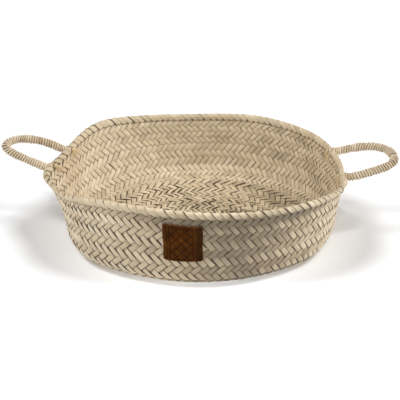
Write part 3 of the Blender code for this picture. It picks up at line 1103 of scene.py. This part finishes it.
@dataclass(frozen=True)
class Lamp:
    """Light that points at a spot: broad and far, or narrow where it has a cone."""

    name: str
    bearing: float
    elevation: float
    strength: float
    softness: float = 22.0
    casts: bool = True
    cone: float = 0.0
    aim: Spot = (0.0, 0.0, 0.05)
    cone_blend: float = 0.6
    cone_source: float = 0.10
    cone_distance: float = 1.95
    broad_distance: float = 2.0

    def build(self) -> None:
        """Place the light."""
        if self.cone:
            data = bpy.data.lights.new(self.name, "SPOT")
            data.spot_size = math.radians(self.cone)
            data.spot_blend = self.cone_blend
            data.shadow_soft_size = self.cone_source
            away = self.cone_distance
        else:
            data = bpy.data.lights.new(self.name, "SUN")
            data.angle = math.radians(self.softness)
            away = self.broad_distance
        data.energy = self.strength
        data.use_shadow = self.casts
        bearing = math.radians(self.bearing)
        elevation = math.radians(self.elevation)
        flat = Vector((math.cos(bearing), math.sin(bearing), 0.0)) * math.cos(elevation)
        back = flat + Vector((0.0, 0.0, math.sin(elevation)))
        light = bpy.data.objects.new(self.name, data)
        light.location = Vector(self.aim) + back * away
        light.rotation_euler = back.to_track_quat("Z", "Y").to_euler()
        light.visible_camera = False
        bpy.context.scene.collection.objects.link(light)


@dataclass(frozen=True)
class Studio:
    """Camera at the photograph's angle, soft lights and a pale floor."""

    aim: Spot = (0.0, 0.0, 0.04)
    distance: float = 1.4
    elevation: float = 22.6
    roll: float = -0.3
    focal: float = 1172.8
    photo_width: float = 400.0
    sensor_width: float = 36.0
    shift_x: float = -0.0020
    shift_y: float = -0.0055
    air_strength: float = 0.04
    floor_radius: float = 6.0
    lamps: tuple[Lamp, ...] = (
        Lamp("left_window", 184.0, 57.0, 1.88),
        Lamp("right_window", -4.0, 57.0, 1.98),
        Lamp("left_glow", 204.0, 0.0, 1.5, 8.0, False),
        Lamp("right_glow", -3.0, 0.0, 2.5, 8.0, False),
        Lamp("basket_spot", -90.0, 38.0, 80.0, cone=12.0, aim=(0.0, 0.105, 0.09)),
        Lamp("floor_spot", 90.0, 86.0, 78.0, casts=False, cone=9.0, aim=(0.0, -0.176, 0.0)),
    )

    def camera(self) -> None:
        """Place the camera."""
        high = math.radians(self.elevation)
        back = Vector((0.0, -math.cos(high), math.sin(high)))
        right = Vector((1.0, 0.0, 0.0))
        up = back.cross(right)
        lean = math.radians(self.roll)
        side = right * math.cos(lean) + up * math.sin(lean)
        above = up * math.cos(lean) - right * math.sin(lean)
        data = bpy.data.cameras.new("photo_camera")
        data.sensor_width = self.sensor_width
        data.lens = self.focal * self.sensor_width / self.photo_width
        data.shift_x = self.shift_x
        data.shift_y = self.shift_y
        data.dof.use_dof = False
        camera = bpy.data.objects.new("photo_camera", data)
        turn = Matrix((side, above, back)).transposed().to_4x4()
        camera.matrix_world = Matrix.Translation(Vector(self.aim) + back * self.distance) @ turn
        bpy.context.scene.collection.objects.link(camera)
        bpy.context.scene.camera = camera

    def floor(self) -> None:
        """Lay the floor."""
        work = bmesh.new()
        bmesh.ops.create_circle(work, cap_ends=True, segments=96, radius=self.floor_radius)
        mesh = bpy.data.meshes.new("floor")
        work.to_mesh(mesh)
        work.free()
        mesh.materials.append(StudioFloor().make())
        floor = bpy.data.objects.new("floor", mesh)
        bpy.context.scene.collection.objects.link(floor)

    def build(self) -> None:
        """Set up the studio."""
        self.camera()
        for lamp in self.lamps:
            lamp.build()
        world = bpy.data.worlds.new("studio_air")
        world.use_nodes = True
        air = world.node_tree.nodes["Background"]
        air.inputs["Color"].default_value = (1.0, 1.0, 1.0, 1.0)
        air.inputs["Strength"].default_value = self.air_strength
        scene = bpy.context.scene
        scene.world = world
        scene.view_settings.view_transform = "Standard"
        scene.view_settings.look = "None"
        self.floor()


# Cords and handles


@dataclass(frozen=True)
class CentreCoil:
    """Start of the plait, coiled flat in the middle of the base."""

    start: float = 15.4 * MM
    end: float = 0.8 * MM
    radius: float = 1.25 * MM
    pitch: float = 2.2 * MM
    drop: float = 226.0 * MM
    points_per_turn: int = 36
    weld: float = 0.01 * MM

    def build(self, finish: bpy.types.Material) -> None:
        """Make the coil, which is part of the middle course."""
        turns = (self.start - self.end) / self.pitch
        share = np.linspace(0.0, 1.0, int(turns * self.points_per_turn) + 1)
        away = self.start + (self.end - self.start) * share
        angle = 2 * math.pi * turns * share
        height = np.full_like(angle, FORM.point(np.zeros(1), np.array([self.drop]))[0, 2])
        line = np.stack([away * np.cos(angle), away * np.sin(angle), height], -1)
        mesh = Tube().lay(line, self.radius, np.array([0.0, 0.0, 1.0]), 0.45, 0.4).mesh("centre_coil")
        place_piece("base_centre_start", [mesh], finish, "base_centre_coil", self.weld)


@dataclass(frozen=True)
class RimThread:
    """Loose thread or cord that lies over the folded edge."""

    name: str
    slot: str
    bearings: tuple[float, float]
    radius: float
    stand: float
    first: int
    last: int
    bulge: float = 0.0
    buried: float = 1.4 * MM
    marks: int = 41
    weld: float = 0.01 * MM

    def build(self, finish: bpy.types.Material) -> None:
        """Make the thread, which lies on the fold of the upper course."""
        path = RimFold().profile(self.marks)[self.first : self.last, :2]
        ahead = unit(np.gradient(path, axis=0))
        share = np.linspace(0.0, 1.0, len(path))
        arch = np.sin(math.pi * share)
        lift = np.minimum(1.0, 3 * arch)
        stand = self.stand * lift - self.buried * (1 - lift) + self.bulge * arch
        path = path + stand[:, None] * np.stack([-ahead[:, 1], ahead[:, 0]], -1)
        bearing = self.bearings[0] + (self.bearings[1] - self.bearings[0]) * share
        base, _, outward = FORM.over_edge(bearing, path[:, 0])
        line = base + outward * path[:, 1, None]
        around = unit(FORM.around(bearing, path[:, 0]))
        mesh = Tube().lay(line, self.radius * np.minimum(1.0, 5 * arch), around, 0.2).mesh(self.name)
        place_piece(self.name, [mesh], finish, "wall_course_upper", self.weld)


@dataclass(frozen=True)
class SeamCord:
    """Cord that sews one course to the next, weaving in and out of their edges."""

    name: str
    drop: float
    waves: int
    radius: float = 0.65 * MM
    swing: float = 0.30 * MM
    # Painted shade on the cord, which lies sunk in the seam
    shade: float = 0.45
    weld: float = 0.01 * MM

    def build(self, finish: bpy.types.Material) -> None:
        """Make the cord in place of its solid."""
        bearing = np.linspace(0.0, 360.0, self.waves * 8 + 1)
        middle, outward = FORM.patch(bearing, np.full_like(bearing, self.drop))
        phase = np.radians(bearing) * self.waves
        line = middle + outward * (self.swing * np.sin(phase))[:, None]
        lay = Tube(6).lay(line, self.radius, outward, 0.2)
        lay.shade = lay.shade + self.shade
        meshes = [lay.mesh(self.name)]
        place_piece(self.name + "_stitching", meshes, finish, self.name, self.weld)


@dataclass(frozen=True)
class RopeHandle:
    """Handle of palm rope with a fine cord wound round it, knotted inside the wall.

    Its two bearings are those of its back and its front end.
    """

    side: str
    bearings: tuple[float, float]
    reach: float
    tilt: float
    seed: int
    squareness: float
    flare: float
    sway: float
    winding_pitch: float
    tail_lean: float
    rope_radius: float = 5.1 * MM
    core_radius: float = 3.7 * MM
    root_depth: float = 6.6 * MM
    swing_stand: float = 11.8 * MM
    turn_points: int = 14
    winding_slant: float = 1.7 * MM
    winding_inset: float = 1.8 * MM
    core_step: float = 1.6
    core_pitch: float = 22.0
    hairs: int = 14
    hair_lengths: tuple[float, float] = (1.0, 3.2)
    hair_radius: float = 0.16 * MM
    fibres: int = 22
    fibre_lengths: tuple[float, float] = (8.0, 17.0)
    fibre_radii: tuple[float, float] = (0.38, 0.62)
    fibre_fan: float = 16.0
    bend_start: float = 3.5 * MM
    bend_end: float = 4.5 * MM

    def root(self, bearing: float) -> tuple[Array, Array]:
        """Point of the wall where an end goes through, and its outward direction."""
        spots, outward = FORM.patch(np.array([bearing]), np.array([self.root_depth]))
        return spots[0], outward[0]

    def axes(self) -> tuple[Array, Array, Array, Array, float]:
        """Lines that the handle is built on.

        Returns:
            Middle and direction of the turning line, the loop's outward direction, the direction
            square to both, and half the span.
        """
        back, front = (spot + outward * self.swing_stand for spot, outward in map(self.root, self.bearings))
        axis = unit(front - back)
        centre = (front + back) / 2
        outward = np.array([centre[0], centre[1], 0.0])
        outward = unit(outward - axis * outward.dot(axis))
        upward = np.cross(outward, axis)
        upward = upward * np.sign(upward[2])
        angle = math.radians(self.tilt)
        ahead = outward * math.cos(angle) + upward * math.sin(angle)
        square = upward * math.cos(angle) - outward * math.sin(angle)
        return centre, axis, ahead, square, float(np.linalg.norm(front - back)) / 2

    def loop(self) -> Array:
        """Middle line of the loop from its back end to its front end."""
        centre, axis, ahead, _, half_span = self.axes()
        turn = np.linspace(0.0, math.pi, 401)
        power = 2 / self.squareness
        sideways = np.cos(turn)
        beyond = np.sin(turn)
        along = -half_span * np.sign(sideways) * np.abs(sideways) ** power * (1 + self.flare * beyond)
        along = along + self.sway * beyond**2
        out = self.reach * np.maximum(beyond, 0.0) ** power
        return centre + axis * along[:, None] + ahead * out[:, None]

    def line(self, step: float) -> Array:
        """Whole rope from inside the wall, out through it, round the loop and back in.

        Args:
            step: Distance between points.

        Returns:
            Evenly spaced points.
        """
        run = np.linspace(-2.4 * MM, self.swing_stand - 0.5 * MM, 60)[:, None]
        back, front = (spot + outward * run for spot, outward in map(self.root, self.bearings))
        rough = even_line(np.concatenate([back, self.loop(), front[::-1]]), 0.5 * MM)
        window = 13
        padded = np.pad(rough, ((window, window), (0, 0)), mode="reflect", reflect_type="odd")
        kernel = np.hanning(2 * window + 1)
        smooth = [np.convolve(padded[:, axis], kernel / kernel.sum(), mode="valid") for axis in range(3)]
        return even_line(np.stack(smooth, -1), step)

    def winding(self) -> list[bpy.types.Mesh]:
        """Fine cord wound round the rope from one root to the other, with a few loose hairs."""
        luck = np.random.default_rng(self.seed)
        step = self.winding_pitch / self.turn_points
        hidden = int(round(self.winding_inset / step))
        line = self.line(step)[hidden:-hidden]
        ahead, side, above = frame_along(line, self.axes()[3])
        count = len(line)
        turn = 2 * math.pi * np.arange(count) / self.turn_points + wander(count, 80, 0.45, luck)
        wrap = 0.445 * self.winding_pitch
        stand = self.rope_radius - 0.9 * wrap + wander(count, 11, 0.26 * MM, luck)
        slant = ahead * (np.sin(turn + wander(count, 160, 1.2, luck)) * self.winding_slant)[:, None]
        helix = line + stand[:, None] * ring(turn, side, above) + slant
        radial = unit(helix - line - slant)
        lay = Tube().lay(helix, wrap * (1 + wander(count, 19, 0.12, luck)), radial, 0.5)
        lay.tone = np.clip(0.72 + wander(count, 17, 0.42, luck), 0, 1)[lay.blank.station][None]
        # Painted shade in the grooves between turns, on the flanks of each turn
        lay.shade = np.clip(1.5 - 1.5 * np.sin((lay.blank.across + 1) * math.pi), 0, 1)[None]
        meshes = [lay.mesh("winding")]
        share = np.linspace(0.0, 1.0, 6)[:, None]
        for place in luck.integers(self.turn_points, count - self.turn_points, self.hairs):
            away = unit(radial[place] + 0.8 * luck.normal(0, 1, 3))
            bent = (away * share + radial[place] * 0.3 * share**2) * luck.uniform(*self.hair_lengths) * MM
            hair = helix[place] + radial[place] * 0.9 * wrap + bent
            square = ahead[place] + 0.3 * side[place]
            meshes.append(Tube(4).lay(hair, self.hair_radius, square, 0.3).mesh("hair"))
        return meshes

    def core(self) -> list[bpy.types.Mesh]:
        """Three twisted strands of the rope inside the winding."""
        line = self.line(self.core_step * MM)
        square = self.axes()[3]
        _, side, above = frame_along(line, square)
        order = np.arange(len(line))
        ends = np.minimum(order, order[::-1]) * self.core_step / 4.0
        slim = self.core_radius * np.clip(0.4 + 0.6 * ends, 0, 1)
        meshes = []
        for strand in range(3):
            turn = 2 * math.pi * (order * self.core_step / self.core_pitch + strand / 3)
            twisted = line + 0.48 * slim[:, None] * ring(turn, side, above)
            meshes.append(Tube().lay(twisted, 0.56 * slim, square, 0.4 + 0.1 * strand).mesh("strand"))
        return meshes

    def tail(self, bearing: float) -> list[bpy.types.Mesh]:
        """Rope's end inside the wall, opened into fibres that lie along the plait and tuck into it."""
        luck = np.random.default_rng(self.seed + int(bearing))
        share = np.linspace(0.0, 1.0, 14)
        meshes = []
        for _ in range(self.fibres):
            length = luck.uniform(*self.fibre_lengths) * MM
            lean = math.radians(self.tail_lean + luck.normal(0.0, self.fibre_fan))
            drop = self.root_depth + luck.normal(-0.8, 1.1) * MM + length * share * math.cos(lean)
            aside = luck.normal(0.0, 1.3) * MM + length * share * math.sin(lean)
            spots, outward = FORM.patch(bearing + np.degrees(aside / FORM.rim_radius), drop)
            arch = np.sin(math.pi * np.minimum(share + 0.25, 1.0))
            depth = 2.0 * MM + luck.uniform(0.6, 2.2) * MM * arch - 0.9 * MM * share**2
            slim = luck.uniform(*self.fibre_radii) * MM * (1 - 0.4 * share)
            lay = Tube(6).lay(spots - outward * depth[:, None], slim, outward[0], luck.uniform(0.35, 1.0))
            meshes.append(lay.mesh("fibre"))
        return meshes

    def build(self, cord: bpy.types.Material, rope: bpy.types.Material) -> None:
        """Make the handle in place of its solids."""
        body = "handle_" + self.side
        centre, _, ahead, _, _ = self.axes()
        start = tuple(centre - ahead * self.bend_start)
        end = tuple(centre + ahead * self.bend_end)
        for name, meshes, finish, node, slot in (
            ("_winding", self.winding(), cord, "_whipping", "palm_cord"),
            ("_rope", self.core(), rope, "_core", "handle_rope"),
        ):
            piece = place_piece(body + name, meshes, finish, body + node, 0.005 * MM, None)
            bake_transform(piece)
        for end_name, bearing in zip(("back", "front"), self.bearings):
            root = f"{body}_root_{end_name}"
            place_piece(f"{body}_tail_{end_name}", self.tail(bearing), rope, root, 0.004 * MM)


# The label


@dataclass(frozen=True)
class LeatherLabel:
    """Leather patch with folded sides, a pressed border and lozenges, sewn on at its corners."""

    bearing: float = 263.3
    width: float = 43.8 * MM
    height: float = 43.5 * MM
    drop: float = 16.0 * MM
    thickness: float = 1.4 * MM
    fold_thickness: float = 0.8 * MM
    left_fold: float = 4.5 * MM
    right_fold: float = 7.8 * MM
    stand: float = 1.95 * MM
    groove: float = 0.34 * MM
    groove_width: float = 0.52 * MM
    border_inset: float = 2.6 * MM
    border_drop: float = 2.8 * MM
    lozenge: float = 10.4 * MM
    corner_rise: float = 3.0 * MM
    cuts: int = 96
    seam_width: float = 0.5 * MM
    crease_inset: float = 1.5 * MM
    crease_width: float = 0.35 * MM
    crease_depth: float = 0.12 * MM
    edge_round: float = 0.9 * MM
    edge_depth: float = 0.55 * MM
    swell: float = 0.12 * MM
    wear: float = 1.2 * MM
    stitch_inset: float = 3.2 * MM
    stitch_radius: float = 0.42 * MM
    stitch_weld: float = 0.004 * MM

    def spot(self, across: Array, down: Array, outward: Array) -> Array:
        """Points over the wall, measured from the label's top left corner."""
        bearing = self.bearing + np.degrees((across - self.width / 2) / FORM.rim_radius)
        rise = self.corner_rise * np.abs(2 * across / self.width - 1) ** 3
        rise = rise * np.clip(down / self.height, 0, 1) ** 2
        middle, normal = FORM.patch(bearing, self.drop + down - rise)
        return middle + normal * outward[..., None]

    def relief(self, across: Array, down: Array) -> tuple[Array, Array, Array]:
        """Height of the leather's face, how dark it is in its pressed lines, seams and creases and in the
        painted shade of its right fold, and how far it is worn.

        Args:
            across: Distances from the left edge.
            down: Distances from the top edge.

        Returns:
            Heights in metres, and shares from 0 to 1.
        """
        edge = np.minimum(np.minimum(across, self.width - across), np.minimum(down, self.height - down))
        fold = np.maximum(self.left_fold - across, across - (self.width - self.right_fold))
        raised = np.clip(fold / self.seam_width + 0.5, 0, 1)
        left = self.left_fold + self.border_inset
        right = self.width - self.right_fold - self.border_inset
        top = self.border_drop
        low = self.height - self.border_drop
        inside = np.minimum(np.minimum(across - left, right - across), np.minimum(down - top, low - down))
        aside = across - (left + right) / 2
        below = down - (top + low) / 2
        first, second = (
            np.abs((place + self.lozenge * 6.5) % self.lozenge - self.lozenge / 2)
            for place in (aside + below, aside - below)
        )
        lattice = np.where(inside > 0, np.minimum(first, second) * math.sqrt(0.5), 1.0)
        pressed = np.clip(1.25 - np.minimum(np.abs(inside), lattice) / self.groove_width, 0, 1)
        seam = np.clip(1 - np.abs(fold) / self.seam_width, 0, 1)
        crease = np.clip(1 - np.abs(edge - self.crease_inset) / self.crease_width, 0, 1) * (raised > 0.5)
        rounding = np.clip(1 - edge / self.edge_round, 0, 1) ** 2 * self.edge_depth
        swell = self.swell * np.sin(across * 210 + 1.0) * np.sin(down * 170)
        face = self.thickness + self.fold_thickness * raised - self.groove * pressed - rounding + swell
        # Painted shade over the right fold
        shaded = 0.55 * np.clip(2 * across / self.width - 1.62, 0, 0.1) / 0.1
        dark = np.maximum(np.maximum(pressed, shaded), np.maximum(seam, crease * 0.7))
        return face - self.crease_depth * crease, dark, np.clip(1 - edge / self.wear, 0, 1)

    def patch_mesh(self) -> bpy.types.Mesh:
        """Leather patch in place."""
        blank = Blank.cut(self.cuts + 1, self.cuts, True)
        across = (blank.along + 1) / 2 * self.width
        down = (blank.across + 1) / 2 * self.height
        wave = 0.25 * MM * np.sin(down * 190) * (2 * across / self.width - 1)
        dip = 0.30 * MM * np.sin(across * 140 + 0.6) * (2 * down / self.height - 1)
        face, dark, worn = self.relief(across, down)
        outward = self.stand + np.where(blank.side > 0.5, face, 0.0)
        spots = self.spot(across + wave, down + dip, outward)
        places = (across[None] * MAP_UNITS, down[None] * MAP_UNITS)
        return Lay(blank, spots[None], *places, dark[None], worn[None], dark[None]).mesh("leather")

    def stitch_mesh(self, across: float, is_top: bool) -> bpy.types.Mesh:
        """Thread over the edge at one corner."""
        inward = 1.0 if is_top else -1.0
        edge = 0.0 if is_top else self.height
        face = self.stand + self.thickness + self.fold_thickness
        reach = [(4.4, -0.9), (4.2, 0.15), (3.2, 0.5), (1.6, 0.55), (0.2, 0.35), (-0.9, -0.9), (-1.4, -2.6)]
        inside, high = np.array(reach).T * MM
        points = self.spot(np.full(len(reach), across), edge + inward * inside, face + high)
        near, far = self.spot(np.array([across, across + MM]), np.full(2, edge), np.full(2, face))
        line = even_line(points, 0.35 * MM)
        return Tube().lay(line, self.stitch_radius, far - near, 0.5, 0.5).mesh("thread")

    def build(self, hide: bpy.types.Material, thread: bpy.types.Material) -> None:
        """Make the label and its stitches in place of their solids."""
        place_piece("label_hide", [self.patch_mesh()], hide, "leather_label")
        for row, is_top in (("top", True), ("low", False)):
            for column, across in (("left", self.stitch_inset), ("right", self.width - self.stitch_inset)):
                mesh = self.stitch_mesh(across, is_top)
                node = f"label_stitch_{row}_{column}"
                place_piece(f"label_thread_{row}_{column}", [mesh], thread, node, self.stitch_weld)


# The whole basket


def plait_courses() -> list[PlaitCourse]:
    """Courses of the plait from the rim to the centre."""
    slacks = tuple(
        Slack(*values)
        for values in (
            (172.0, 11.0, 1.0, 0.35, 0.24),
            (180.0, 16.0, 3.0, 0.35, 0.20),
            (12.0, 16.0, 3.0, 0.4, 0.22),
            (12.0, 18.0, 5.0, 0.4, 0.26),
            (16.0, 18.0, 7.0, 0.4, 0.24),
            (342.0, 13.0, 1.0, 0.35, 0.26),
            (345.0, 14.0, 3.0, 0.35, 0.20),
            (205.0, 16.0, 2.0, 0.4, 0.20),
            (215.0, 20.0, 4.0, 0.4, 0.16),
            (220.0, 16.0, 8.0, 0.4, 0.14),
            (60.0, 26.0, 11.1, 0.5, 0.30),
            (98.0, 26.0, 13.5, 0.45, 0.26),
            (140.0, 14.0, 12.7, 0.5, 0.26),
            (116.0, 14.0, 14.3, 0.5, 0.26),
            (90.0, 55.0, 15.9, 0.5, 0.24),
            (95.0, 80.0, 19.4, 1.2, 0.22),
            (60.0, 40.0, 20.6, 0.8, 0.20),
        )
    )
    even = Spacing((0.0,), (3.0,))
    return [
        PlaitCourse("wall_course_upper", 0.85, 5.0, 120, 11, slacks),
        PlaitCourse("wall_course_lower", 5.0, 11.3, 120, 11, slacks, 5),
        PlaitCourse("base_course_outer", 10.75, 16.3, 80, 33, slacks, looseness=1.3, spacing=even),
        PlaitCourse("base_course_inner", 15.75, 21.3, 50, 44, slacks, looseness=1.8, spacing=even),
        PlaitCourse("base_centre_coil", 20.75, 24.6, 24, 55, slacks, looseness=2.0, spacing=even),
    ]


def seam_cords() -> list[SeamCord]:
    """Cords that sew the courses together."""
    band = 46.5 * MM
    seam = FORM.foot_seam
    return [
        SeamCord("seam_cord_wall", band, 112),
        SeamCord("seam_cord_foot", seam, 94),
        SeamCord("seam_cord_base_outer", seam + band, 62),
        SeamCord("seam_cord_base_inner", seam + 2 * band, 32),
    ]


def handles() -> list[RopeHandle]:
    """The left and the right handle."""
    left = RopeHandle(
        "left",
        (160.3, 173.6),
        reach=60.5 * MM,
        tilt=16.5,
        seed=71,
        squareness=2.23,
        flare=0.16,
        sway=11.8 * MM,
        winding_pitch=3.1 * MM,
        tail_lean=-38.0,
    )
    right = RopeHandle(
        "right",
        (18.7, 357.2),
        reach=58.4 * MM,
        tilt=12.9,
        seed=83,
        squareness=2.58,
        flare=0.01,
        sway=8.5 * MM,
        winding_pitch=3.2 * MM,
        tail_lean=6.0,
    )
    return [left, right]


def main() -> None:
    """Build the basket and its studio."""
    logging.basicConfig(level=logging.INFO, format="%(name)s %(message)s")
    Studio().build()
    leaf = PalmLeaf().make()
    for course in plait_courses():
        course.build(leaf)
    CentreCoil().build(leaf)
    RimFold().build(leaf)
    cord = TwistedPalm("palm_cord", (0.88, 0.76, 0.58), (0.40, 0.28, 0.155)).make()
    rope = TwistedPalm("handle_rope", (0.72, 0.585, 0.36), (0.38, 0.26, 0.12)).make()
    for seam_cord in seam_cords():
        seam_cord.build(cord)
    for handle in handles():
        handle.build(cord, rope)
    RimThread("rim_cord", "palm_cord", (351.0, 344.5), 1.0 * MM, 1.2 * MM, 18, 36, 1.1 * MM).build(cord)
    wax = WaxedThread().make()
    LeatherLabel().build(TannedHide().make(), wax)
    RimThread("rim_thread", "thread", (338.2, 335.2), 0.5 * MM, 0.7 * MM, 13, 33).build(wax)


if __name__ == "__main__":
    main()
